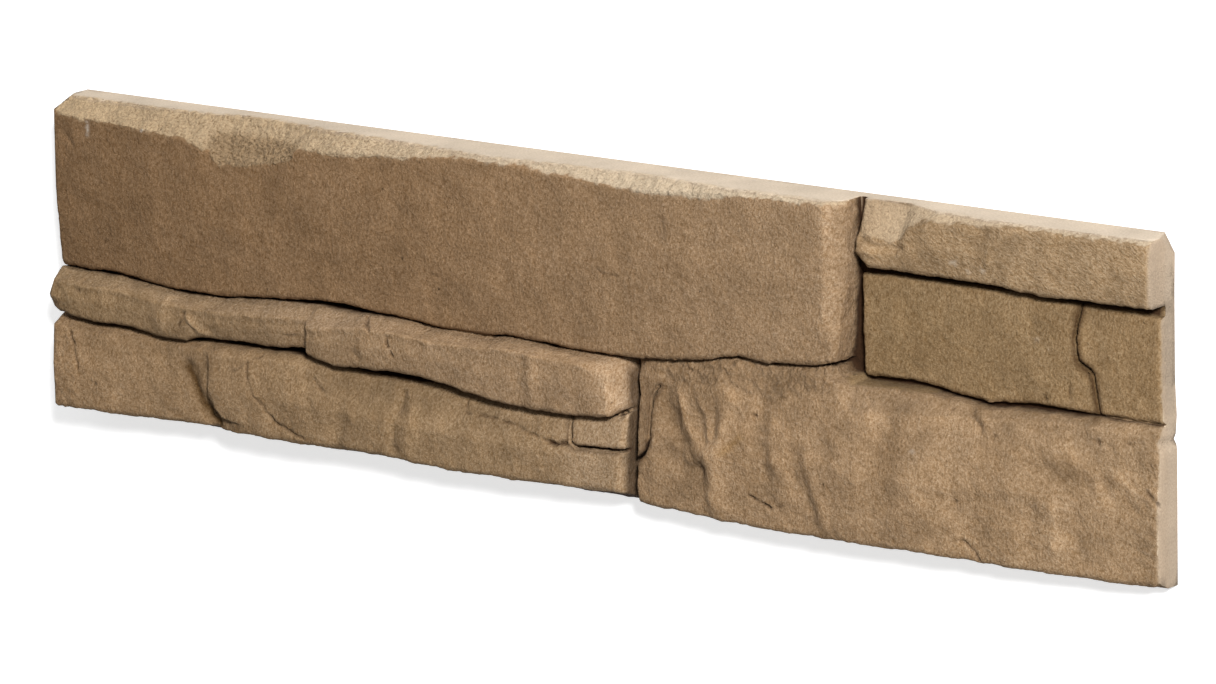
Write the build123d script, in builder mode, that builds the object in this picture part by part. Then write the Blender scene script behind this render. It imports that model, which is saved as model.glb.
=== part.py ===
# Cast stone cladding strip: one piece with a flat back and a face of mock ledge stones.
# It lies on its back: X runs along the courses, Y up the wall and Z out of the wall.
# The origin is at the middle of the back. Sizes are in millimetres.

import os

from build123d import *
from numpy import interp

# Overall size
length = 600.0
height = 150.0
backing = 7.0  # solid thickness behind the joints

# Joints between the mock stones
joint = 3.0  # width of a bed joint at the stone faces, where it is 100 percent open
upper_gap = 3.5  # width of the upright joint of the upper courses
draft = 0.3  # lean of each joint wall, so that the cast leaves its mould
arris = 1.5  # worn edge round each stone

# Courses
upper_upright = 448.3  # left end to the upright joint of the upper courses
lower_upright = 332.0  # left end to the upright joint of the lower courses
bed_rise = 69.0  # bottom edge to the long bed joint
ledge_rise = 45.0  # bottom edge to the joint under the ledge
cap_height = 30.0  # top edge to the joint under the cap stone
foot_lean = 5.0  # how far the left foot stone's face stands back from the bottom edge
heel_lean = 2.0  # the same for the right foot stone

# Step in the left foot stone, whose lip turns along the bottom edge
step_side = 96.0  # left end to the step
step_floor = 20.0  # how far the low side of the step stands out of the backing
step_rise = 6.0  # height of the step, which runs out towards the right
hook_run = 22.0  # the lip's run along the bottom edge
hook_rise = 12.0  # bottom edge to that run

# Cracks and breaks
crack_width = 1.5
end_crack = 39.0  # right end to the crack through the low block
end_crack_floor = 1.0  # solid left over the backing under it
loose_run = 32.0  # lower upright joint to the far side of the loose block beside it
loose_drop = 14.0  # joint under the ledge to the underside of that block
loose_floor = 13.0  # solid left over the backing under the crack round it
sliver_run = 11.0  # lower upright joint to the crack behind the sliver on its other side
sliver_floor = 9.0  # solid left over the backing under that crack
break_run = 5.0  # broken back corner at the top right, along the strip
break_drop = 8.0  # the same, down the strip
break_depth = 12.0  # the same, up from the back


# A line runs between two places along the strip, with points of (percent of the way, rise over its level).
def line(start, end, level, points):
    return [(start + (end - start) * way / 100, level + rise) for way, rise in points]


def rise_at(points, place):
    places, rises = zip(*points)
    return float(interp(place, places, rises))


# The edge of a stone along a joint: side is 1 for the stone above the joint and -1 for the one below it
def edge(bed, gap, side, inset=0.0):
    places = sorted({place for place, _ in bed + gap})
    halves = [joint / 2 * rise_at(gap, place) / 100 - inset for place in places]
    return [(place, rise_at(bed, place) + side * half) for place, half in zip(places, halves)]


# Where each stretch between the uprights starts and ends
left_top = (0.0, upper_upright - upper_gap / 2)
right_top = (upper_upright + upper_gap / 2, length)
left_low = (0.0, lower_upright - joint / 2)
right_low = (lower_upright + joint / 2, length)

# Bed joints, wavy as in laid ledge stone
long_bed = line(*left_top, bed_rise, [(0, 1.3), (8, 1.3), (16, -2.2), (22, -2.1), (27, 0.2), (35, 2.4),
                                      (47, 1), (50, -0.6), (57, -0.8), (59.5, 0.7), (68, -1), (75, -0.8),
                                      (82.5, 2.9), (88, 7.3), (91.5, 6.1), (99.7, 9.8), (100, 9.9)])
short_bed = line(*right_top, bed_rise, [(0, 3), (20, 3.5), (42, -0.5), (57, 1.5), (100, 1.5)])
heel_bed = long_bed[:-1] + short_bed  # over the right foot stone, which dips at the upper upright
ledge_bed = line(*left_low, ledge_rise, [(0, 4.5), (8, 1.7), (15, 1.9), (19, 0.2), (24.5, 0), (27, 1.8),
                                         (33, 2.1), (45.5, 2.8), (52, -0.4), (62.5, 0), (67, -0.4),
                                         (76.5, -4.1), (82, -5.7), (92, -5.9), (98.4, -3.6), (100, -1)])
cap_bed = line(*right_top, height - cap_height, [(0, 1), (40, 1), (65, -0.5), (100, -0.5)])
cap_foot = line(*right_top, height - cap_height, [(0, 6), (2, 3.5), (5, 1.3), (40, 1), (65, -0.7),
                                                  (100, -0.7)])

# How far each bed joint is open along its way, in percent of the joint width
long_gap = line(*left_top, 0, [(0, 60), (8, 80), (16, 72), (22, 55), (27, 60), (35, 95), (39, 125), (42, 70),
                               (50, 42), (57, 42), (59.5, 65), (68, 42), (75, 38), (91.5, 50), (100, 70)])
short_gap = line(*right_top, 0, [(0, 85), (42, 85), (57, 80), (76, 45), (100, 38)])
heel_gap = long_gap[:-1] + short_gap
ledge_gap = line(*left_low, 0, [(0, 100), (15, 105), (24.5, 40), (27, 95), (33, 140), (38, 90), (45.5, 150),
                                (52, 65), (62.5, 175), (67, 175), (76.5, 75), (92, 60), (100, 35)])
cap_gap = line(*right_top, 0, [(0, 100), (100, 100)])
block_gap = line(*right_top, 0, [(0, 220), (8, 170), (65, 130), (90, 140), (100, 220)])

# Bottom and top edges of the strip, at the backing and at the faces
bottom_edge = line(0, length, 0, [(0, 0), (100, 0)])
left_foot = line(*left_low, foot_lean, [(0, 0), (30, 1), (58, 2), (70, 0), (100, 2)])
right_foot = line(*right_low, heel_lean, [(0, 1), (25, -1), (55, 0.5), (80, -0.5), (100, 0)])
top_edge = line(0, length, height, [(0, 0), (100, 0)])

# Stone faces along each stone: (percent of the way, toe, belly, brow, drop, set-back).
# Toe, belly and brow are how far the face stands out of the backing, low, midway and high.
# Drop and set-back are the break of the top edge, down the face and back into it.
long_face = [(0, 17, 19.5, 18.5, 5, 14), (3, 18.5, 20, 19.5, 6.5, 12.5), (13, 19, 20.5, 19.5, 8, 11),
             (20, 19, 20, 19.5, 12, 11.5), (23, 19, 20, 18, 20, 14), (28.5, 19, 20, 18, 18, 14),
             (33, 19, 20, 19.5, 10, 12), (34.5, 19, 20, 19.5, 7.5, 11), (46, 19, 20.5, 19.5, 5, 8),
             (58, 19, 20.5, 19.5, 1.5, 3), (66, 19, 20, 19, 4, 5), (76, 19, 20, 19, 5.5, 7),
             (86, 19, 20, 19, 2, 3), (98.4, 18.8, 19.2, 19, 2, 2), (100, 18.2, 13.5, 12.8, 2, 2)]
ledge_face = [(0, 24, 27.2, 23.7, 4.5, 6), (4, 26.5, 27, 25, 4.5, 8), (14, 25.5, 26, 24.5, 4.5, 9),
              (30, 24, 25, 24, 4.5, 9), (40, 22.5, 23.5, 22.5, 5, 8), (46.3, 21, 22, 21.5, 6, 7),
              (47.2, 26, 26.5, 25, 7.5, 9), (51, 26.8, 27.2, 25.8, 6.5, 9), (57, 27, 27.5, 26, 4, 9.5),
              (65, 26.5, 27, 25.5, 4, 10), (80, 25.5, 26, 25, 3.5, 10), (94, 24.5, 25, 24, 4, 10),
              (98.4, 24, 24.5, 23, 7, 10), (100, 14, 14.5, 13, 8, 6)]
foot_face = [(0, 26.5, 26.7, 25, 4, 7), (8, 25, 25.5, 23, 3, 4), (20, 21.5, 22, 20, 3, 4),
             (28, 20, 20.5, 22.5, 3, 4), (28.9, 20, 25.8, 23.4, 3, 4), (30.3, 25.8, 26.5, 24.5, 3, 4),
             (46, 25, 25.5, 22, 3, 4), (60, 23.5, 24.5, 19.5, 4, 4), (72, 22.5, 23, 18, 4, 4),
             (90, 21, 22, 18, 3, 3), (100, 19, 20, 17, 3, 3)]
heel_face = [(0, 15.5, 16.5, 13, 6, 3), (4, 17, 18, 15.5, 10, 4), (10, 16.5, 18, 16, 12, 4),
             (18, 18, 20.5, 18.5, 12, 4.5), (27, 17, 19, 17, 13, 5), (36, 18.5, 21.5, 19, 12, 6),
             (44, 19, 22, 18.5, 12, 7), (51, 17.5, 19.5, 16.5, 10, 8), (58, 18, 20, 16, 8, 7),
             (65, 15.5, 17, 12.5, 4, 4), (74, 14.5, 15.5, 11.5, 3, 3), (83, 12, 12.5, 9.5, 3, 3),
             (92, 10, 10.5, 8.5, 3, 2.5), (97, 8.5, 9, 7, 5, 2.5), (100, 7.5, 8, 5, 7, 2.5)]
cap_face = [(0, 10, 10.5, 7.5, 12, 3.5), (5, 13, 13, 11, 15, 9), (15, 13, 13.5, 12, 16, 11),
            (19, 13, 14, 13, 9, 9), (27, 13, 14.5, 13.5, 4, 6), (38, 13, 14, 13.5, 3.5, 5),
            (46, 13, 14, 13.5, 2, 3), (100, 13, 13.5, 13, 2, 2.5)]
block_face = [(0, 6, 6.5, 6, 1, 1), (40, 5, 5.5, 5, 1, 1), (72, 5.5, 6, 5.5, 1, 1),
              (76, 4.2, 4.5, 4, 1, 1), (100, 3.5, 3.8, 3.5, 1, 1)]

# Each stone: its stretch, its low edge at the face and at the backing, its high edge the same, and its face
stones = [
    (left_top, edge(long_bed, long_gap, 1), edge(long_bed, long_gap, 1, draft),
     top_edge, top_edge, long_face),
    (left_low, edge(ledge_bed, ledge_gap, 1), edge(ledge_bed, ledge_gap, 1, draft),
     edge(long_bed, long_gap, -1), edge(long_bed, long_gap, -1, draft), ledge_face),
    (left_low, left_foot, bottom_edge,
     edge(ledge_bed, ledge_gap, -1), edge(ledge_bed, ledge_gap, -1, draft), foot_face),
    (right_low, right_foot, bottom_edge,
     edge(heel_bed, heel_gap, -1), edge(heel_bed, heel_gap, -1, draft), heel_face),
    (right_top, edge(cap_foot, cap_gap, 1), edge(cap_foot, cap_gap, 1, draft),
     top_edge, top_edge, cap_face),
    (right_top, edge(short_bed, short_gap, 1), edge(short_bed, short_gap, 1, draft),
     edge(cap_bed, block_gap, -1), edge(cap_bed, block_gap, -1, draft), block_face),
]

# Crack paths over the face: through the low block, round the loose block, and behind the sliver
end_side = length - end_crack
low_end = rise_at(short_bed, end_side)
high_end = rise_at(cap_bed, end_side)
loose_left = lower_upright - loose_run
loose_top = rise_at(ledge_bed, loose_left)
loose_under = loose_top - loose_drop
sliver_side = lower_upright + sliver_run
cracks = [
    ([(end_side, high_end), (end_side - 3, high_end - 16), (end_side - 2, high_end - 26),
      (end_side + 5, low_end + 18), (end_side + 8, low_end)], end_crack_floor),
    ([(loose_left, loose_top), (loose_left + 1, loose_under + 2), (loose_left + 4, loose_under),
      (lower_upright, loose_under + 1)], loose_floor),
    ([(sliver_side + 5, bed_rise - 11), (sliver_side + 1, bed_rise - 18), (sliver_side, bed_rise - 36),
      (sliver_side - 3, bed_rise - 42), (lower_upright, bed_rise - 48)], sliver_floor),
]

# Low side of the step under its hooked lip
hook = [(0, 2 * hook_rise), (1, 20), (4.5, 15), (8, hook_rise), (hook_run, hook_rise - 1),
        (hook_run, -backing), (0, -backing)]


# Where the cross-sections of a stone stand: at its ends, at its worn edges and at every point of its lines
def stations(stretch, *lines):
    start, end = stretch
    places = {place for points in lines for place, _ in points}
    inner = {place for place in places if start + 2 * arris < place < end - 2 * arris}
    kept = [start, start + arris]
    for place in sorted(inner):
        if place - kept[-1] > arris:
            kept.append(place)
    return kept + [end - arris, end]


with BuildPart() as cladding_strip:
    # Backing slab
    with BuildSketch():
        Rectangle(length, height)
    extrude(amount=backing)

    # Mock stones, each a loft through cross-sections along its stretch
    for stretch, low, low_root, high, high_root, face in stones:
        reliefs = [line(*stretch, 0, [(row[0], row[column]) for row in face]) for column in range(1, 6)]
        for place in stations(stretch, low, high, reliefs[0]):
            toe, belly, brow, drop, set_back = (rise_at(relief, place) for relief in reliefs)
            worn = min(arris, toe / 3)
            end_worn = worn if place in stretch else 0
            bottom = rise_at(low, place)
            top = rise_at(high, place)
            root = (place - length / 2, -height / 2, backing)
            with BuildSketch(Plane(root, x_dir=(0, 1, 0), z_dir=(1, 0, 0))):
                with BuildLine():
                    Polyline(
                        (rise_at(low_root, place), 0),
                        (bottom, toe - worn - end_worn),
                        (bottom + worn, toe - end_worn),
                        ((bottom + worn + top - drop) / 2, belly - end_worn),
                        (top - drop, brow - end_worn),
                        (top, brow - set_back - end_worn),
                        (rise_at(high_root, place), 0),
                        close=True,
                    )
                make_face()
        loft(ruled=True)

    # Low side of the step, cut to a floor that rises to the face at the end of the hook
    step_foot = (step_side - length / 2, -height / 2, backing + step_floor)
    with BuildSketch(Plane(step_foot, x_dir=(hook_run, 0, step_rise), z_dir=(-step_rise, 0, hook_run))):
        with BuildLine():
            Polyline(*hook, close=True)
        make_face()
    extrude(amount=2 * step_rise, mode=Mode.SUBTRACT)

    # Cracks, each a narrow band cut down to its floor
    for path, floor in cracks:
        with BuildSketch(Plane((-length / 2, -height / 2, backing + floor))):
            with BuildLine():
                Polyline(*path)
            trace(line_width=crack_width)
        extrude(amount=3 * backing, mode=Mode.SUBTRACT)

    # Broken back corner at the top right
    corner = Vector(length / 2, height / 2, 0)
    along, down, out = Vector(-break_run, 0, 0), Vector(0, -break_drop, 0), Vector(0, 0, break_depth)
    break_plane = Plane(corner + along, x_dir=down - along, z_dir=(down - along).cross(out - along))
    split(bisect_by=break_plane, keep=Keep.TOP)

cladding_strip.part.label = "cladding_strip"
os.makedirs("parts", exist_ok=True)
export_step(cladding_strip.part, "parts/cladding_strip.step")
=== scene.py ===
import math

import bmesh
import bpy
import numpy as np
from mathutils import Matrix, Vector, noise


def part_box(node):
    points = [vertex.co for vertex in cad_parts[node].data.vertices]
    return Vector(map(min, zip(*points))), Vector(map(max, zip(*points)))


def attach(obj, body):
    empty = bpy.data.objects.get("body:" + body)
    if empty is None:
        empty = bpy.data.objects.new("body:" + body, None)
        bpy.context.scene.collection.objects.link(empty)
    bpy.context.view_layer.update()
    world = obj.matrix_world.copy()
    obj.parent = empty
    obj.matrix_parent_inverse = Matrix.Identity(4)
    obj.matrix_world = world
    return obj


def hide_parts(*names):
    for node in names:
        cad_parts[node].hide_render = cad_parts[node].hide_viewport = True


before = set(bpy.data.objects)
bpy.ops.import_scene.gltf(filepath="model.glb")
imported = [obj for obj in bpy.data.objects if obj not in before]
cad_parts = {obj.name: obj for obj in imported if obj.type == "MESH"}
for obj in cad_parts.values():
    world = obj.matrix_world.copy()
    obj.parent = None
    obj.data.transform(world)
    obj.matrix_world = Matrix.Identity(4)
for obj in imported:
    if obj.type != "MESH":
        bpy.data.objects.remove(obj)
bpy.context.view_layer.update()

scene = bpy.context.scene
scene.view_settings.view_transform = "Standard"
mm = 0.001


# Helpers for points and fields, all in mm from the strip's left, bottom, back corner

def smooth(low, high, value):
    t = np.clip((value - low) / (high - low), 0.0, 1.0)
    return t * t * (3 - 2 * t)


def band(start, full, fade, end, value):
    return smooth(start, full, value) * smooth(end, fade, value)


def noiseField(points, size, octaves=3, rough=0.8, shift=0.0, where=None):
    chosen = np.arange(len(points)) if where is None else np.flatnonzero(where > 0.01)
    field = np.zeros(len(points))
    scaled = points[chosen] / size + shift
    field[chosen] = [noise.fractal(p, rough, 2.0, octaves) for p in scaled.tolist()]
    return field


def lineAt(line, x):
    places, rises = zip(*line)
    return np.interp(x, places, rises)


def colourAt(stops, x):
    places, colours = zip(*stops)
    return np.stack([np.interp(x, places, channel) for channel in zip(*colours)], 1)


def blend(base, other, mask):
    return base + (np.asarray(other) - base) * mask[:, None]


def strokeMask(spots, path, width):
    path = np.array(path, float)
    reach = 2.5 * width
    inside = (spots > path.min(0) - reach) & (spots < path.max(0) + reach)
    near = np.flatnonzero(inside.all(1))
    best = np.full(len(near), reach)
    for start, end in zip(path, path[1:]):
        along = end - start
        part = np.clip((spots[near] - start) @ along / (along @ along), 0.0, 1.0)
        best = np.minimum(best, np.linalg.norm(spots[near] - start - part[:, None] * along, axis=1))
    mask = np.zeros(len(spots))
    mask[near] = np.exp(-((best / width) ** 2))
    return mask


def readVectors(items, key):
    flat = np.empty(len(items) * 3, np.float32)
    items.foreach_get(key, flat)
    return flat.reshape(-1, 3).astype(float)


def bakeModifiers(piece):
    graph = bpy.context.evaluated_depsgraph_get()
    result = bpy.data.meshes.new_from_object(piece.evaluated_get(graph))
    old = piece.data
    piece.modifiers.clear()
    piece.data = result
    bpy.data.meshes.remove(old)


# Cast strip: a remeshed copy of the solid, worked over as split stone

strip = {
    "voxel": 0.5 * mm,
    "softSteps": 2,  # rounding of the solid's edges
    "triangles": 194000,
    # bed joints and uprights, as place along the strip and height
    "longBed": [(0, 70.3), (36, 70.3), (71, 66.8), (98, 66.9), (121, 69.2), (156, 71.4), (210, 70),
                (223, 68.4), (254, 68.2), (266, 69.7), (304, 68), (335, 68.2), (368, 71.9), (393, 76.3),
                (409, 75.1), (447, 78.9)],
    "ledgeBed": [(0, 49.5), (26, 46.7), (50, 46.9), (63, 45.2), (81, 45), (89, 46.8), (109, 47.1),
                 (150, 47.8), (172, 44.6), (207, 45), (221, 44.6), (253, 40.9), (271, 39.3), (304, 39.1),
                 (325, 41.4), (331, 44)],
    "lowUpright": 332,
    "highUpright": 448.3,
    "capBed": 120.0,
    "blockBed": 70.5,
    # ragged lip of the broken top edge
    "lip": [(0, 145.5), (6, 143.5), (17, 142), (27, 142.3), (38, 143), (55, 141), (80, 140), (90, 136.5),
            (95, 136), (98, 132), (101, 129.5), (112, 130), (130, 132.5), (145, 136.5), (147.5, 141.5),
            (160, 142.3), (172, 141.5), (190, 143.2), (208, 144), (225, 147), (245, 148), (262, 147.5),
            (280, 148.5), (290, 146), (300, 147), (320, 145), (347, 143.5), (362, 144.5), (375, 143.7),
            (385, 146), (405, 148.3), (449, 148.7), (450.5, 138), (455, 136), (470, 135), (475, 137),
            (478, 142), (485, 146), (505, 147), (530, 148.7), (600, 148.7)],
    # crest of the ledge stone, between its shelf and its front
    "crest": [(6, 64), (42, 64.5), (75, 62), (107, 61.5), (144, 63.5), (158, 61), (190, 65), (223, 64),
              (279, 65.7), (326, 62.5)],
    # lower edge of the crumbly shelf over the right foot stone
    "shelf": [(333, 64), (345, 66), (352, 62), (365, 60), (385, 63), (410, 60), (425, 64), (435, 66),
              (455, 60), (490, 62), (503, 66), (600, 69)],
    # how far the right end is worn back, up the strip
    "rightEnd": [(0, 0), (58, 0), (60.5, 0.4), (62.7, 1.7), (65, 0.7), (73, 0.1), (88, 0.9), (126, 1.0),
                 (150, 0.6)],
    # how far the lower upright wanders to the left, and the long stone's right end is worn, up the strip
    "lowWander": [(0, 2.8), (12, 2.5), (20, 1.7), (28, 0.3), (34, 0)],
    "longWear": [(72, 5.0), (80, 3.6), (85, 2.6), (93, 1.8), (104, 1.5), (115, 0)],
    # how far the right foot stone's left edge is worn back from the lower upright
    "lowOpen": [(0, 1.5), (45, 1.3), (62, 0.5), (68, 0)],
}

# Limits of the zones: the value at which a zone is nil, then the one at which it is full
edges = {
    "worked": 0.8,  # height over the back from which there is relief
    "square": (0.6, 0.8),  # how squarely a side looks out
    "squareTop": (0.75, 0.9),
    "sideGap": (1.2, 0.6),  # how near a moulded plane a point lies
    "topGap": (1.2, 0.5),
    "backGap": (1.6, 0.9),
    "underside": (-0.15, -0.3),  # broken back corner at the top right
    "cornerRun": (8, 6),
    "cornerDrop": (12, 9),
    "column": 5.0,  # width over which the top edge's front is found
    "rim": (-4.0, -0.5),
    "rimEnd": (620, 300),
    "jointFloor": (9.4, 7.4),
    "jointEnd": (0.6, 3),
    "wall": (0.65, 0.35),
    "outward": (0.15, 0.5),
    "uprightGap": (2.6, 1.8),
    "uprightDepth": (24, 20),
    "lip": (-0.5, 0.4),
    "shelf": (-2.5, 2.5),
    "shelfEnd": (520, 420),
    "chipTop": (145, 141),
    "wornBed": (70, 73),
    "wornEnd": (585, 600),
    "lowReach": (12, 3),
}

# Stretches with a look of their own, along or up the strip: start, full, fade and end
bands = {
    "chip": (90, 97, 146, 149),
    "pittedEdge": (30, 60, 170, 300),
    "closedBed": (336, 345, 430, 442),  # the long stone's bed nearly closes here
    "longEnd": (432, 445, 447.6, 448.6),
    "blockEnd": (72, 76, 118, 122),
}

# Crumbly stretches: stone, strength and the stretch along it
crumbs = [
    ("foot", 0.5, (1, 6, 14, 19)),
    ("ledge", 0.4, (-1, 0, 14, 24)),
    ("heel", 0.5, (584, 594, 601, 602)),
    ("long", 0.5, (433, 440, 449, 450)),
]

# Stain along each stone, as stops of place and share of the common stain; how lumpy the face is,
# which way its felted strokes lean in degrees, and how far out of the back its joint walls are darkened, with
# dirt and painted shade
stain = np.array((0.265, 0.172, 0.096))
stones = {
    "long": {"lumps": 0.6, "lean": 20, "dirtAndShade": 20,
             "tint": [(0, (0.65, 0.58, 0.5)), (225, (0.8, 0.735, 0.66)), (430, (1.0, 0.99, 0.98))]},
    "ledge": {"lumps": 0.9, "lean": 10, "dirtAndShade": 22.5,
              "tint": [(0, (0.78, 0.77, 0.7)), (120, (0.82, 0.81, 0.77)), (220, (0.96, 0.95, 0.94)),
                       (332, (1.0, 0.99, 0.99))]},
    "foot": {"lumps": 1.0, "lean": 25, "dirtAndShade": 24,
             "tint": [(0, (0.95, 0.92, 0.87)), (200, (0.83, 0.82, 0.76)), (290, (0.98, 0.98, 0.94)),
                      (310, (1.18, 1.22, 1.26))]},
    "heel": {"lumps": 1.2, "lean": 10, "dirtAndShade": 12,
             "tint": [(332, (1.0, 0.98, 0.95)), (420, (1.07, 1.05, 1.02)), (600, (1.04, 1.04, 1.02))]},
    "cap": {"lumps": 1.0, "lean": 115, "dirtAndShade": 10,
            "tint": [(450, (1.02, 1.03, 0.99)), (600, (1.09, 1.12, 1.1))]},
    "block": {"lumps": 0.8, "lean": 20, "dirtAndShade": 10,
              "tint": [(450, (0.87, 0.86, 0.75)), (600, (0.88, 0.86, 0.75))]},
}

# Bare cast by zone
bareTones = {
    "side": (0.36, 0.282, 0.205),
    "end": (0.35, 0.266, 0.187),
    "top": (0.46, 0.38, 0.292),
    "chip": (0.27, 0.187, 0.107),
    "broken": [(0, (0.37, 0.268, 0.16)), (150, (0.4, 0.295, 0.182)), (260, (0.45, 0.352, 0.243)),
               (420, (0.45, 0.36, 0.253)), (455, (0.36, 0.258, 0.158)), (480, (0.41, 0.308, 0.2)),
               (600, (0.46, 0.365, 0.255))],
}

# How relief, light and wear change the stain and the bare cast
toning = {
    # how much fold crests are painted lighter and hollows darker, as light and shade
    "foldLightAndShade": 0.09,
    "foldLimits": (-0.25, 0.2),
    "ledgeShade": 0.28,  # painted shade on faces that look up, right of the lower upright
    # painted shade over the right foot stone's crumbly shelf
    "crumbShade": 0.22,
    # painted light on the ledge stone's shelf, above its crest
    "paintedShelfLight": (0.1, 0.13, 0.2),
    # tint of the tone marks: rubbed spots, painted highlights and painted shade
    "wearLightAndShadeTint": (0.5, 0.56, 0.66),
    "rust": (0.3, 0.175, 0.07),
    "lime": 0.7,
    "blockEnd": 0.16,
}

# Dark joints, with painted shade on the joint walls: stretches with a depth of their own, and how much is
# taken off elsewhere
jointDirt = {
    "fade": (0.0, -4.0),
    "longEnd": {"from": 430, "depth": 12.5},
    "lowBrim": {"to": 342, "depth": 26},
    "rightWalls": 0.3,
    "lowTop": 0.6,
    "closedBed": 0.8,
    "crackWidth": 1.6,
}

# Roughness of the fractures, which are calmer on the cap stone and deepest in the chip
fracture = {"calmRight": 0.6, "grit": 0.5, "chipGrit": 0.9, "sink": 0.4}

# Cracks of the solid, which only take dirt
solidCracks = [
    [(561, 118), (558, 103.5), (559, 93.5), (566, 88.5), (569, 71)],
    [(300, 38.5), (301, 27.1), (304, 25.1), (331, 26.1)],
    [(348, 58), (344, 51), (343, 33), (340, 27), (333, 21.7)],
]

# Fine cracks: path, half width and depth
cracks = [
    ([(125.8, 44), (118.9, 40.7), (118.5, 35.8), (119.5, 31.1), (123.3, 25.1), (128.3, 21.7)], 0.6, 0.9),
    ([(128.3, 21.7), (136.3, 13.7), (145.4, 10.9), (150.9, 9.2)], 0.7, 1.4),
    ([(109.5, 35), (118.5, 40)], 0.55, 0.5),
    ([(185.8, 68.7), (189.2, 66.8), (193.1, 65.1)], 0.7, 2.2),
    ([(204.4, 63.7), (203.2, 60.4), (205.6, 57.5), (206.8, 55.6)], 0.65, 1.9),
    ([(81.7, 59.7), (78.7, 52.4)], 0.6, 1.4),
    ([(140.7, 55.3), (146.4, 56.4)], 0.55, 0.7),
    ([(156.9, 38.1), (159.7, 34.5), (163.7, 32.6)], 0.55, 0.8),
    ([(242, 37.5), (242, 32.5), (258, 32), (270, 30.5), (280, 27.8), (290, 25.6)], 0.55, 1.1),
    ([(290, 25.6), (293, 25), (300, 26.6)], 0.9, 3.0),
    ([(397.5, 15.6), (402, 13.6), (408, 11.6)], 0.7, 2.2),
    ([(408, 11.6), (412, 11.6), (415.8, 13.8)], 0.5, 0.7),
    ([(504, 10.6), (508, 10.2), (513, 6.2), (516, 2)], 0.65, 1.2),
    ([(594, 43.5), (597, 40), (600, 36)], 0.7, 1.2),
    ([(563.6, 88.5), (563.8, 85)], 0.6, 1.2),
    ([(555, 74), (555.2, 82)], 0.5, 0.6),
    ([(11, 41), (12.2, 36.5)], 0.7, 1.5),
    ([(14.4, 32.5), (15.6, 24.5)], 0.6, 1.2),
    ([(224.8, 93.8), (230, 93), (234.6, 92.5)], 0.5, 0.4),
    ([(318.8, 106.9), (323, 105.3), (329.4, 104.8)], 0.5, 0.5),
    ([(30, 85), (34.5, 89.5)], 0.6, 0.4),
    ([(363, 67.5), (366, 66)], 0.6, 1.0),
    ([(387.5, 72.6), (389.8, 71.4)], 0.6, 0.9),
]

# Pits: place, half width and depth
pits = [
    ((249, 31), 0.8, 1.8), ((400.9, 51.7), 0.7, 1.4), ((378, 37), 0.9, 1.2), ((541.5, 75), 1.4, 1.4),
    ((504, 27.8), 0.8, 1.0), ((521.5, 58), 0.7, 0.8), ((500, 66.5), 0.7, 0.8), ((571, 61), 1.2, 1.0),
    ((576, 60), 0.8, 0.8), ((586, 62), 0.9, 0.8), ((17, 62.5), 1.0, 1.2), ((19, 66), 0.8, 0.8),
    ((175, 118), 0.6, 0.7), ((43, 98.5), 0.9, 0.5),
]

# Folds of the faces: crests stand up and valleys sink, with path, half width and height
folds = [
    ([(352, 54), (357, 43), (362, 34), (371, 25)], 5.0, -1.7),
    ([(360, 55), (364, 44), (369, 35), (375, 30)], 3.0, 1.2),
    ([(369, 54), (373, 45), (375, 37)], 2.4, -0.7),
    ([(371.5, 54), (375.5, 46), (378, 38)], 2.2, 0.9),
    ([(379.5, 55), (380.5, 47), (380, 38)], 2.4, -1.3),
    ([(387, 56), (386, 45), (381, 34), (378, 24), (379, 8)], 4.5, 1.7),
    ([(354, 28), (362, 23), (370, 21)], 5.0, -1.2),
    ([(396, 52), (395, 30)], 4.0, 0.5),
    ([(404, 55), (402, 45), (406, 36), (408, 28)], 3.6, -0.8),
    ([(410, 52), (411, 34)], 4.0, 0.9),
    ([(424, 36), (427, 25), (431, 8)], 5.0, -0.9),
    ([(431, 36), (433, 25), (437, 8)], 3.8, 0.8),
    ([(453, 58), (449, 50), (432, 38)], 5.0, -0.9),
    ([(461, 50), (457, 30)], 6.0, 0.8),
    ([(470, 56), (465, 45), (461, 28)], 5.0, -0.9),
    ([(509, 69), (512, 64), (514, 59)], 1.6, -1.1),
    ([(514, 68), (518, 60)], 3.0, 0.8),
    ([(547, 46), (557, 42), (565, 39)], 5.0, -1.2),
    ([(550, 55), (561, 51), (570, 48)], 4.5, 0.9),
    ([(575, 45), (581, 39), (587, 35)], 3.0, -1.1),
    ([(583, 47), (588, 42)], 3.5, 0.8),
    ([(551, 31), (551, 14)], 3.6, 1.2),
    ([(562, 28), (563, 12)], 4.5, -1.0),
    ([(541, 28), (540, 14)], 4.0, -0.8),
    ([(524, 22), (534, 17)], 6.0, 0.9),
    ([(500, 24), (512, 30)], 6.0, -0.9),
    ([(484, 26), (494, 20), (500, 22)], 4.5, 0.8),
    ([(531, 50), (530, 36)], 5.0, 0.7),
    ([(80, 34), (84, 29), (86.5, 19), (90.5, 11), (97, 8)], 3.0, -1.6),
    ([(206, 36), (205, 24), (203, 10)], 2.4, -1.2),
    ([(214, 30), (213, 10)], 3.4, 0.9),
    ([(173, 24), (172, 10)], 4.0, -0.9),
    ([(85, 58), (90, 54), (95, 51)], 1.6, 1.0),
    ([(70, 62), (68, 52)], 4.0, 0.8),
    ([(60, 62), (60, 50)], 5.0, -0.5),
    ([(186, 60), (184.5, 55), (188, 52.5)], 1.4, -0.8),
    ([(284, 62), (285, 44)], 3.4, 0.7),
    ([(277, 62), (277, 44)], 3.4, -0.6),
    ([(520, 133), (522, 139), (527, 143), (535, 147)], 2.4, 1.2),
    ([(513, 137), (519, 145)], 3.0, -0.9),
    ([(453, 133.5), (462, 132.6), (476, 133)], 1.2, -1.0),
    ([(452, 129), (462, 129)], 1.6, 0.8),
    ([(352, 132), (353, 124)], 2.0, -0.7),
    ([(7, 134), (12, 129)], 1.6, -0.8),
    (strip["crest"], 1.4, 0.7),
    ([(342, 65), (368, 68.5), (393, 72.5), (409, 71.5), (440, 74.5)], 4.0, 1.6),
]
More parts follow.
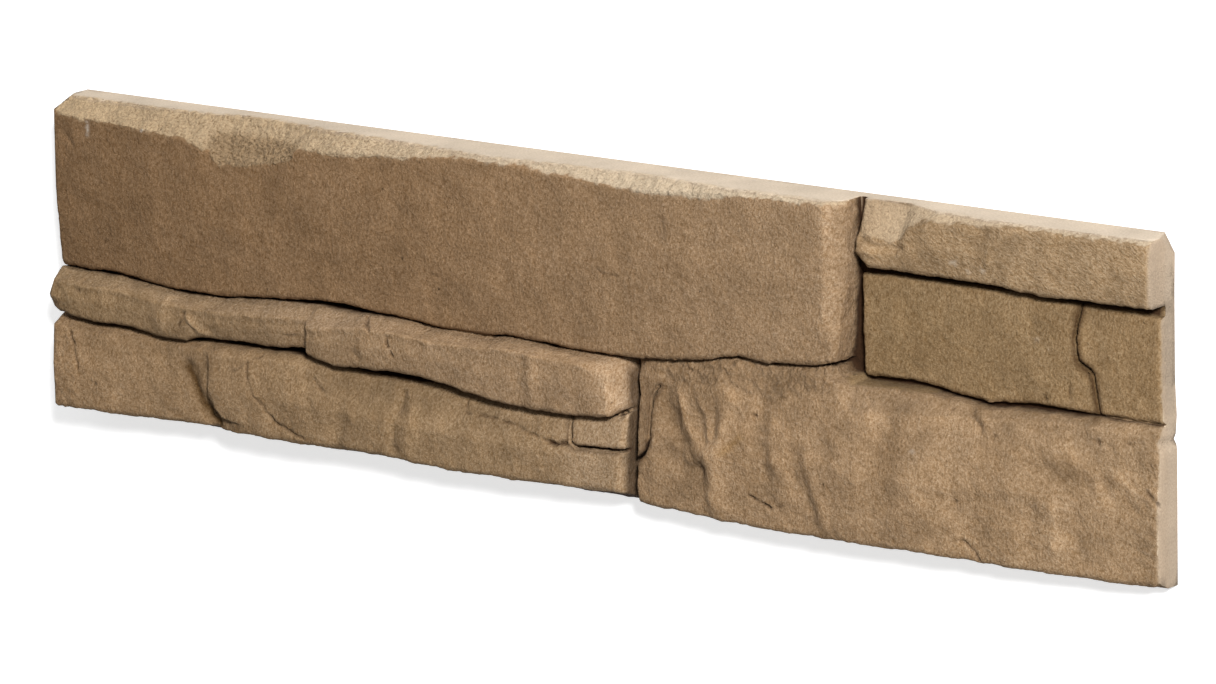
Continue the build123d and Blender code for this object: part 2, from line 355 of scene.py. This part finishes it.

# Tones over the stain, with path, half width and strength: above 0 lighten, as rubbed spots and as painted
# highlights on crests and flakes; below 0 darken, as dark patches, painted shade in fold hollows, a painted
# shadow beside the foot stone's step and a crack
wearLightAndShadeMarks = [
    # painted highlights on flakes and crests of the ledge and foot stones
    ([(85, 57), (86, 52), (91, 50.5)], 3.0, 0.5),
    ([(103, 17), (112, 20), (118, 15)], 4.0, 0.3),
    ([(70, 62), (69, 52)], 3.0, 0.3),
    ([(438, 147), (441, 125), (442, 100)], 4.5, 0.2),
    ([(440, 147), (441, 134)], 4.0, 0.35),
    ([(322, 64), (326, 48)], 5.0, 0.7),
    ([(329, 64), (330, 46)], 3.0, 0.4),
    ([(456, 126), (460, 125)], 2.5, 0.5),
    ([(452, 66), (462, 62)], 6.0, 0.3),
    ([(500, 62), (503, 52)], 6.0, 0.25),
    # painted highlights along the crests of folds on the right foot stone
    ([(550, 27), (550, 12)], 4.5, 0.35),
    ([(378, 40), (378, 14)], 5.0, 0.3),
    ([(428, 52), (430, 40)], 6.0, 0.2),
    ([(482, 42), (484, 34)], 7.0, 0.2),
    ([(525, 114), (535, 99), (540, 86)], 8.0, 0.25),
    # painted shadow cast by the foot stone's step onto its lower left part
    ([(80, 33), (83.5, 28), (86.5, 18.5), (90.5, 10.5), (98, 7.5)], 2.4, -1.3),
    # painted shade in fold hollows of the right foot stone, then a dark patch on the block
    ([(352, 50), (360, 36)], 6.0, -0.3),
    ([(398, 48), (400, 40)], 5.0, -0.2),
    ([(474, 50), (470, 36)], 6.0, -0.25),
    ([(566, 48), (556, 44)], 6.0, -0.3),
    ([(518, 52), (520, 44)], 6.0, -0.2),
    ([(462, 86), (500, 88)], 8.0, -0.15),
    (solidCracks[0], 1.9, -0.9),
]
rustMarks = [([(384.3, 32.8), (394.8, 41.9)], 1.5, 0.6)]
limeMarks = [
    ([(22.8, 142), (23.2, 138), (22.6, 135)], 0.5),
    ([(56, 141.4), (56.6, 141)], 0.5),
    ([(503, 130.6), (504, 129.6)], 0.5),
    ([(510, 127), (510.4, 127)], 0.45),
    ([(517, 128.4), (518, 128.4)], 0.45),
    ([(539, 99.8), (539.6, 100)], 0.5),
    ([(545, 96.5), (545.4, 96.5)], 0.45),
    ([(483, 46.4), (484, 46.6)], 0.45),
]

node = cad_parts["cladding_strip"]
low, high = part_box("cladding_strip")
corner = np.array(low)
span = (np.array(high) - corner) / mm

piece = bpy.data.objects.new("cast_strip", node.data.copy())
scene.collection.objects.link(piece)
piece.data.materials.clear()
weld = bmesh.new()
weld.from_mesh(piece.data)
bmesh.ops.remove_doubles(weld, verts=weld.verts, dist=1e-6)
weld.to_mesh(piece.data)
weld.free()
remesh = piece.modifiers.new("remesh", "REMESH")
remesh.mode = "VOXEL"
remesh.voxel_size = strip["voxel"]
soften = piece.modifiers.new("soften", "SMOOTH")
soften.factor = 0.5
soften.iterations = strip["softSteps"]
bakeModifiers(piece)
print("strip remeshed:", len(piece.data.vertices), "points")

allPoints = (readVectors(piece.data.vertices, "co") - corner) / mm
allNormals = readVectors(piece.data.vertex_normals, "vector")
front = np.flatnonzero(allPoints[:, 2] > edges["worked"])
points = allPoints[front]
normals = allNormals[front]
x, y, z = points.T
sideways, upward, outwards = normals.T

# Zones: plain moulded sides, the joint floors, the broken top edge and the stones
endGap = np.minimum(x, span[0] - x)
endPlane = smooth(*edges["square"], np.abs(sideways)) * smooth(*edges["sideGap"], endGap)
topPlane = smooth(*edges["squareTop"], upward) * smooth(*edges["topGap"], span[1] - y)
footPlane = smooth(*edges["square"], -upward) * smooth(*edges["sideGap"], y)
backCorner = smooth(*edges["cornerRun"], span[0] - x) * smooth(*edges["cornerDrop"], span[1] - y)
backCorner *= smooth(*edges["underside"], outwards)
ragged = noiseField(points, 5.0, 4, 0.6, 4.1)
# the top edge's front rim is broken too, so it belongs to the fracture
columns = round(span[0] / edges["column"])
column = np.minimum(x / edges["column"], columns - 1).astype(int)
topEdge = np.zeros(columns)
np.maximum.at(topEdge, column, np.where(topPlane > 0.5, z, 0.0))
rim = topPlane * smooth(*edges["rim"], z - topEdge[column] + 2.0 * ragged) * smooth(*edges["rimEnd"], x)
topPlane *= 1 - rim
plain = np.max([smooth(*edges["backGap"], z), endPlane, topPlane, footPlane, backCorner], axis=0)
recess = smooth(*edges["jointFloor"], z) * (1 - plain) * smooth(*edges["jointEnd"], span[0] - x)
wall = smooth(*edges["wall"], np.abs(outwards)) * (1 - plain)
lip = lineAt(strip["lip"], x) + 1.2 * ragged
inJoint = smooth(*edges["uprightGap"], np.abs(x - strip["highUpright"])) * smooth(*edges["uprightDepth"], z)
broken = smooth(*edges["lip"], y - lip) * (1 - plain) * (1 - recess) * (1 - inJoint)
chip = band(*bands["chip"], x) * smooth(*edges["chipTop"], y)

right = x > strip["highUpright"]
aboveLong = y > np.where(right, strip["blockBed"], lineAt(strip["longBed"], x))
regions = {
    "long": aboveLong & ~right,
    "ledge": ~aboveLong & (x < strip["lowUpright"]) & (y > lineAt(strip["ledgeBed"], x)),
    "foot": ~aboveLong & (x < strip["lowUpright"]) & (y <= lineAt(strip["ledgeBed"], x)),
    "heel": ~aboveLong & (x >= strip["lowUpright"]),
    "cap": right & (y > strip["capBed"]),
    "block": right & aboveLong & (y <= strip["capBed"]),
}
lumpy, lean, dirtAndShadeRise = np.zeros((3, len(points)))
faceTone = np.ones((len(points), 3))
for name, region in regions.items():
    lumpy[region] = stones[name]["lumps"]
    lean[region] = math.radians(stones[name]["lean"])
    dirtAndShadeRise[region] = stones[name]["dirtAndShade"]
    faceTone[region] = stain * colourAt(stones[name]["tint"], x[region])
dirtAndShadeRise[regions["long"] & (x > jointDirt["longEnd"]["from"])] = jointDirt["longEnd"]["depth"]
# painted shade on the right foot stone's left wall, by the lower upright
dirtAndShadeRise[regions["heel"] & (x < jointDirt["lowBrim"]["to"])] = jointDirt["lowBrim"]["depth"]
overShelf = smooth(*edges["shelf"], y - lineAt(strip["shelf"], x))
crumbly = regions["heel"] * overShelf * smooth(*edges["shelfEnd"], x)
for name, strength, stretch in crumbs:
    crumbly += strength * regions[name] * band(*stretch, x)
print("zones marked")

# Relief along the normals: swell, lumps and grain, then folds, cracks and the fracture
relief = {
    "swell": (42.0, 0.45, None),  # size, height and where
    "lump": (12.0, 0.42, None),
    "grain": (2.7, 0.19, None),
    "wall": (12.0, 0.35, wall),
    "crumb": (3.4, 0.8, crumbly),
    "fracture": (7.0, 0.8, broken),
    "grit": (2.0, 0.75, broken),
    "mottle": (16.0, 0.14, None),
}
field = {}
for index, (name, (size, height, where)) in enumerate(relief.items()):
    field[name] = height * noiseField(points, size, 3, 0.6, 2.3 + 1.7 * index, where)
fray = np.stack([ragged, noiseField(points, 5.0, 3, shift=8.8)], 1)
spots = points[:, :2] + 0.7 * fray
foldSpots = points[:, :2] + 1.6 * noiseField(points, 14.0, 2, shift=6.4)[:, None]
patchy = smooth(-0.75, 0.25, noiseField(points, 4.0, 2, shift=5.3))

face = (1 - plain) * (1 - recess) * (1 - broken)
outward = smooth(*edges["outward"], outwards) * (1 - recess)
foldHeight = np.zeros(len(points))
for path, width, height in folds:
    foldHeight += height * strokeMask(foldSpots, path, width)
foldHeight *= 0.6 + 0.65 * smooth(-0.6, 0.3, noiseField(points, 9.0, 2, shift=7.7))
crackDepth = np.zeros(len(points))
crackDirt = np.zeros(len(points))
for place, width, depth in pits:
    cracks.append(([place, (place[0] + 0.4, place[1])], width, depth))
for path, width, depth in cracks:
    mask = strokeMask(spots, path, width) * patchy
    crackDepth = np.maximum(crackDepth, depth * mask)
    crackDirt = np.maximum(crackDirt, mask * min(1.0, 0.3 + 0.25 * depth))
for path in solidCracks:
    crackDirt = np.maximum(crackDirt, strokeMask(points[:, :2], path, jointDirt["crackWidth"]))

push = face * (field["swell"] + lumpy * field["lump"] + field["grain"] + crumbly * field["crumb"])
push += wall * (1 - recess) * field["wall"]
push += face * outward * foldHeight
grit = (fracture["grit"] + fracture["chipGrit"] * chip) * field["grit"]
push += broken * (1 - fracture["calmRight"] * right) * (field["fracture"] + grit - fracture["sink"])
push -= outward * crackDepth
push += 0.05 * plain * smooth(1.0, 2.0, z) * field["grain"] / relief["grain"][1]
moved = allPoints.copy()
moved[front] += normals * push[:, None]
# the uprights and the right end wander and wear along the strip
along, rise = moved[:, 0], moved[:, 1]
pastLow = along - strip["lowUpright"]
nearLow = smooth(*edges["lowReach"], np.abs(pastLow))
slide = lineAt(strip["lowOpen"], rise) * nearLow * (pastLow > 0.8)
slide -= lineAt(strip["lowWander"], rise) * nearLow * np.where(pastLow < 0, 1.0, 0.4)
slide -= lineAt(strip["longWear"], rise) * band(*bands["longEnd"], along) * smooth(*edges["wornBed"], rise)
slide -= lineAt(strip["rightEnd"], rise) * smooth(*edges["wornEnd"], along)
moved[:, 0] += slide
moved = np.clip(moved, 0, [span[0], span[1], span[2] + 2])
piece.data.vertices.foreach_set("co", (moved * mm + corner).astype(np.float32).ravel())
print("relief carved")

# Colours and masks carried by the mesh: fold hollows and up-facing ledges are painted darker as shade, and
# fold crests lighter as painted light
# the fold height paints light onto crests and shade into hollows; the mottle varies the stain at random
foldLightShadeAndMottle = np.clip(toning["foldLightAndShade"] * foldHeight + lumpy * field["mottle"], *toning["foldLimits"])
faceTone *= (1 + foldLightShadeAndMottle)[:, None]
# faces that look up are painted darker, as shade
faceTone *= (1 - toning["ledgeShade"] * smooth(0.3, 0.8, upward) * smooth(330, 340, x))[:, None]
# painted shade over the right foot stone's crumbly shelf
faceTone *= (1 - toning["crumbShade"] * regions["heel"] * crumbly)[:, None]
# the ledge stone's shelf above its crest is painted lighter towards the left, as painted light
overCrest = smooth(-0.8, 0.8, y - lineAt(strip["crest"], x) + 0.8 * ragged)
faceTone *= 1 + np.outer(regions["ledge"] * overCrest * smooth(250, 150, x), toning["paintedShelfLight"])
# rubbed spots, painted highlights and painted shade from the tone marks
for path, width, strength in wearLightAndShadeMarks:
    faceTone *= 1 + np.outer(strength * strokeMask(foldSpots, path, width), toning["wearLightAndShadeTint"])
for path, width, strength in rustMarks:
    faceTone = blend(faceTone, toning["rust"], strength * strokeMask(foldSpots, path, width))
bareTone = colourAt(bareTones["broken"], x)
bareTone = blend(bareTone, bareTones["chip"], chip)
bareTone = blend(bareTone, bareTones["side"], plain)
bareTone = blend(bareTone, bareTones["end"], endPlane * smooth(6.5, 8.0, z))
bareTone *= (1 - toning["blockEnd"] * endPlane * band(*bands["blockEnd"], y))[:, None]
bareTone = blend(bareTone, bareTones["top"], topPlane)
# joint floors take dark dirt; walls up to each stone's depth are darkened as well, as painted shade
dirtAndShade = np.maximum(recess, smooth(*jointDirt["fade"], z - dirtAndShadeRise) * wall * (1 - broken))
dirtAndShade *= 1 - jointDirt["rightWalls"] * smooth(0.4, 0.7, sideways) * smooth(340, 336, x)
dirtAndShade *= 1 - jointDirt["lowTop"] * smooth(59, 65, y) * smooth(6, 4, np.abs(x - strip["lowUpright"]))
nearBed = smooth(6, 4, np.abs(y - lineAt(strip["longBed"], x)))
dirtAndShade *= 1 - jointDirt["closedBed"] * band(*bands["closedBed"], x) * nearBed
lime = np.zeros(len(points))
for path, width in limeMarks:
    lime = np.maximum(lime, toning["lime"] * strokeMask(spots, path, width))


def carry(name, kind, key, values, behind):
    whole = np.tile(np.asarray(behind, float), (len(allPoints), 1))
    whole[front, :values.shape[1]] = values
    layer = piece.data.attributes.new(name, kind, "POINT")
    layer.data.foreach_set(key, whole.astype(np.float32).ravel())


carry("faceTone", "FLOAT_COLOR", "color", faceTone, [*stain, 1.0])
carry("bareTone", "FLOAT_COLOR", "color", bareTone, [*bareTones["side"], 1.0])
carry("bare", "FLOAT", "value", np.maximum(broken, plain)[:, None], [1.0])
coarse = broken * (0.5 + 0.3 * band(*bands["pittedEdge"], x) + 0.2 * chip)
carry("rough", "FLOAT", "value", np.maximum(coarse, 0.3 * crumbly)[:, None], [0.0])
carry("lean", "FLOAT", "value", lean[:, None], [0.0])
carry("dirtAndShade", "FLOAT", "value", np.clip(np.maximum(dirtAndShade, outward * crackDirt), 0, 1)[:, None], [0.0])
carry("lime", "FLOAT", "value", lime[:, None], [0.0])
piece.data.update()

thin = piece.modifiers.new("thin", "DECIMATE")
thin.ratio = strip["triangles"] / (2 * len(piece.data.polygons))
bakeModifiers(piece)
print("strip thinned:", len(piece.data.polygons), "faces")


# Material helpers

def nodeTree(material):
    material.use_nodes = True
    tree = material.node_tree
    tree.nodes.clear()
    return tree


def addNode(tree, kind, inputs=None, **settings):
    made = tree.nodes.new(kind)
    for key, value in settings.items():
        setattr(made, key, value)
    for key, value in (inputs or {}).items():
        if isinstance(value, bpy.types.NodeSocket):
            tree.links.new(value, made.inputs[key])
        else:
            made.inputs[key].default_value = value
    return made


def attribute(tree, name, output="Fac"):
    return addNode(tree, "ShaderNodeAttribute", attribute_name=name).outputs[output]


def grey(level):
    return (level, level, level, 1.0)


def calculate(tree, operation, *values):
    return addNode(tree, "ShaderNodeMath", dict(enumerate(values)), operation=operation).outputs[0]


def noiseTexture(tree, place, scale, detail, rough=0.5):
    inputs = {"Vector": place, "Scale": scale, "Detail": detail, "Roughness": rough}
    return addNode(tree, "ShaderNodeTexNoise", inputs).outputs["Fac"]


def toneRamp(tree, factor, stops):
    ramp = addNode(tree, "ShaderNodeValToRGB", {"Fac": factor})
    while len(ramp.color_ramp.elements) < len(stops):
        ramp.color_ramp.elements.new(0.5)
    for element, (place, level) in zip(ramp.color_ramp.elements, stops):
        element.position = place
        element.color = (*level, 1.0) if isinstance(level, tuple) else grey(level)
    return ramp.outputs["Color"]


def tonedNoise(tree, place, look):
    level = noiseTexture(tree, place, *look["noise"])
    return toneRamp(tree, level, look["stops"]), level


def mixColour(tree, factor, a, b, blendType="MIX"):
    mix = addNode(tree, "ShaderNodeMix", data_type="RGBA", blend_type=blendType)
    for socket, value in ((mix.inputs["Factor"], factor), (mix.inputs[6], a), (mix.inputs[7], b)):
        if isinstance(value, bpy.types.NodeSocket):
            tree.links.new(value, socket)
        else:
            socket.default_value = value
    return mix.outputs[2]


def multiplied(tree, colour, *tones):
    for tone in tones:
        colour = mixColour(tree, 1.0, colour, tone, "MULTIPLY")
    return colour


def makeGroup(name, inputs, outputs):
    group = bpy.data.node_groups.new(name, "ShaderNodeTree")
    for label, kind, value in inputs:
        group.interface.new_socket(label, in_out="INPUT", socket_type=kind).default_value = value
    for label, kind in outputs:
        group.interface.new_socket(label, in_out="OUTPUT", socket_type=kind)
    return group, group.nodes.new("NodeGroupInput").outputs, group.nodes.new("NodeGroupOutput")


# Bare grain: the sandy cast, as a tone to multiply by and a height for bump; rough parts are pitted

grainFinish = {
    "cloud": {"noise": (45.0, 5.0), "stops": [(0.3, 0.9), (0.7, 1.1)]},  # scale, detail and roughness
    "sand": {"noise": (1000.0, 3.0, 0.6), "stops": [(0.3, 0.86), (0.5, 1.0), (0.7, 1.12)]},
    "lumps": {"noise": (800.0, 4.0, 0.7),
              "stops": [(0.34, (0.4, 0.33, 0.25)), (0.45, (0.86, 0.83, 0.79)), (0.55, 1.04), (0.7, 1.2)]},
    "sandHeight": 0.22,
}


def bareGrainGroup():
    group, given, result = makeGroup(
        "bareGrain",
        [("Rough", "NodeSocketFloat", 0.0)],
        [("Tone", "NodeSocketColor"), ("Height", "NodeSocketFloat")],
    )
    place = addNode(group, "ShaderNodeTexCoord").outputs["Object"]
    cloud, _ = tonedNoise(group, place, grainFinish["cloud"])
    sandTone, sand = tonedNoise(group, place, grainFinish["sand"])
    pitTone, lumps = tonedNoise(group, place, grainFinish["lumps"])
    pitted = mixColour(group, given["Rough"], grey(1.0), pitTone)
    lumpHeight = calculate(group, "MULTIPLY", lumps, given["Rough"])
    height = calculate(group, "MULTIPLY_ADD", sand, grainFinish["sandHeight"], lumpHeight)
    group.links.new(multiplied(group, cloud, sandTone, pitted), result.inputs["Tone"])
    group.links.new(height, result.inputs["Height"])
    return group


bareGrain = bareGrainGroup()


def sandyCast(tree):
    inputs = {"Rough": attribute(tree, "rough")}
    grain = addNode(tree, "ShaderNodeGroup", inputs, node_tree=bareGrain).outputs
    return multiplied(tree, attribute(tree, "bareTone", "Color"), grain["Tone"]), grain["Height"]


def finish(tree, colour, roughness, bumps):
    normal = None
    for height, (strength, distance) in bumps:
        inputs = {"Strength": strength, "Distance": distance, "Height": height}
        bump = addNode(tree, "ShaderNodeBump", inputs)
        if normal:
            tree.links.new(normal, bump.inputs["Normal"])
        normal = bump.outputs["Normal"]
    shader = addNode(tree, "ShaderNodeBsdfPrincipled", {
        "Base Color": colour, "Roughness": roughness, "Specular IOR Level": 0.2, "Normal": normal})
    addNode(tree, "ShaderNodeOutputMaterial", {"Surface": shader.outputs["BSDF"]})


# Stained face: the brown wash over the cast, felted in short leaning strokes

faceFinish = {
    # colour of the joint dirt and of the painted shade on the joint walls
    "joint": (0.036, 0.0155, 0.0055, 1),
    "lime": (0.62, 0.56, 0.48, 1),
    "strokeStretch": (1.0, 0.55, 1.0),
    "streakStretch": (1.0, 0.35, 1.0),
    "roughness": 0.92,
    "cloud": {"noise": (45.0, 6.0, 0.6), "stops": [(0.3, (0.93, 0.92, 0.9)), (0.7, (1.07, 1.08, 1.1))]},
    "streak": {"noise": (130.0, 3.0), "stops": [(0.3, 0.93), (0.7, 1.07)]},
    "felt": {"noise": (950.0, 3.0, 0.68),
             "stops": [(0.3, (0.68, 0.61, 0.5)), (0.5, 1.0), (0.7, (1.3, 1.38, 1.52))]},
    "sand": {"noise": (1300.0, 2.0), "stops": [(0.3, (0.84, 0.81, 0.75)), (0.7, (1.16, 1.2, 1.26))]},
    "feltBump": (0.55, 0.0011),  # strength and distance
    "sandBump": (0.35, 0.0004),
    "castBump": (0.6, 0.0025),
}


def stainedFace():
    material = bpy.data.materials.new("stainedFace")
    tree = nodeTree(material)
    place = addNode(tree, "ShaderNodeTexCoord").outputs["Object"]
    turned = addNode(tree, "ShaderNodeVectorRotate", {"Vector": place, "Angle": attribute(tree, "lean")},
                     rotation_type="Z_AXIS")
    leaning = addNode(tree, "ShaderNodeMapping", {
        "Vector": turned.outputs["Vector"], "Scale": faceFinish["strokeStretch"]}).outputs["Vector"]
    upright = addNode(tree, "ShaderNodeMapping", {
        "Vector": place, "Scale": faceFinish["streakStretch"]}).outputs["Vector"]
    cloudTone, _ = tonedNoise(tree, place, faceFinish["cloud"])
    streakTone, _ = tonedNoise(tree, upright, faceFinish["streak"])
    feltTone, felt = tonedNoise(tree, leaning, faceFinish["felt"])
    sandTone, sand = tonedNoise(tree, place, faceFinish["sand"])
    faceColour = attribute(tree, "faceTone", "Color")
    stained = multiplied(tree, faceColour, cloudTone, streakTone, feltTone, sandTone)
    bareColour, castHeight = sandyCast(tree)
    colour = mixColour(tree, attribute(tree, "bare"), stained, bareColour)
    colour = mixColour(tree, attribute(tree, "lime"), colour, faceFinish["lime"])
    # joint dirt and painted shade
    colour = mixColour(tree, attribute(tree, "dirtAndShade"), colour, faceFinish["joint"])
    finish(tree, colour, faceFinish["roughness"], [
        (felt, faceFinish["feltBump"]), (sand, faceFinish["sandBump"]), (castHeight, faceFinish["castBump"])])
    return material


# Bare sides: the back, the ends and the moulded edges

sideFinish = {"roughness": 0.88, "castBump": (0.4, 0.0015)}


def bareSides():
    material = bpy.data.materials.new("bareSides")
    tree = nodeTree(material)
    colour, castHeight = sandyCast(tree)
    finish(tree, colour, sideFinish["roughness"], [(castHeight, sideFinish["castBump"])])
    return material


piece.data.materials.append(stainedFace())
piece.data.materials.append(bareSides())
centres = (readVectors(piece.data.polygons, "center") - corner) / mm
facing = readVectors(piece.data.polygons, "normal")
sideGap = span / 2 - np.abs(centres - span / 2)
onSide = sideGap < 0.8
moulded = (
    (centres[:, 2] < 0.6)
    | onSide[:, 0] & (np.abs(facing[:, 0]) > 0.7)
    | onSide[:, 1] & (np.abs(facing[:, 1]) > 0.8)
)
piece.data.polygons.foreach_set("material_index", moulded.astype(np.int32))
piece.data.polygons.foreach_set("use_smooth", np.ones(len(centres), bool))
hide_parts("cladding_strip")
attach(piece, "root")
print("strip finished")


# Floor, lights and camera

stage = {"reach": 6.0, "drop": 0.0004, "floor": 0.8, "lift": 0.62, "sky": 0.2}
reach = stage["reach"]
floorMesh = bpy.data.meshes.new("floor")
floorMesh.from_pydata([(-reach, -reach, 0), (reach, -reach, 0), (reach, reach, 0), (-reach, reach, 0)],
                      [], [(0, 1, 2, 3)])
floor = bpy.data.objects.new("floor", floorMesh)
floor.location.z = -stage["drop"]
scene.collection.objects.link(floor)


def paleFloor():
    material = bpy.data.materials.new("paleFloor")
    tree = nodeTree(material)
    matt = addNode(tree, "ShaderNodeBsdfDiffuse", {"Color": grey(stage["floor"])})
    rays = addNode(tree, "ShaderNodeLightPath").outputs
    seen = calculate(tree, "ADD", rays["Is Camera Ray"], rays["Is Glossy Ray"])
    seen = calculate(tree, "ADD", seen, rays["Is Transmission Ray"])
    glow = addNode(tree, "ShaderNodeEmission", {"Strength": calculate(tree, "MULTIPLY", seen, stage["lift"])})
    both = addNode(tree, "ShaderNodeAddShader", {0: matt.outputs[0], 1: glow.outputs[0]})
    addNode(tree, "ShaderNodeOutputMaterial", {"Surface": both.outputs[0]})
    return material


floorMesh.materials.append(paleFloor())

lights = {
    "key": {"at": (3.2, 2.1, 3.23), "size": 0.7, "watts": 345.0},
    "fill": {"at": (0.1, 1.9, 0.45), "size": 0.8, "watts": 12.0},
}
for name, lamp in lights.items():
    data = bpy.data.lights.new(name, "AREA")
    data.energy = lamp["watts"]
    data.size = lamp["size"]
    holder = bpy.data.objects.new(name, data)
    holder.location = lamp["at"]
    holder.rotation_euler = (-Vector(lamp["at"])).to_track_quat("-Z", "Y").to_euler()
    scene.collection.objects.link(holder)

world = bpy.data.worlds.new("studio")
scene.world = world
world.use_nodes = True
sky = world.node_tree.nodes["Background"]
sky.inputs["Color"].default_value = grey(1.0)
sky.inputs["Strength"].default_value = stage["sky"]

view = {
    "at": Vector((1.7126, 0.6577, 2.2062)),
    "target": Vector((0.0029, -0.0082, 0.0)),
    "roll": math.radians(-1.45),
    "lens": 192.43,
}
cameraData = bpy.data.cameras.new("camera")
cameraData.lens = view["lens"]
cameraData.clip_end = 30.0
camera = bpy.data.objects.new("camera", cameraData)
forward = (view["target"] - view["at"]).normalized()
side = forward.cross(Vector((0, 1, 0))).normalized()
up = side.cross(forward)
camera.matrix_world = Matrix.Translation(view["at"]) @ (
    Matrix((side, up, -forward)).transposed() @ Matrix.Rotation(view["roll"], 3, "Z")).to_4x4()
scene.collection.objects.link(camera)
scene.camera = camera
print("stage set")
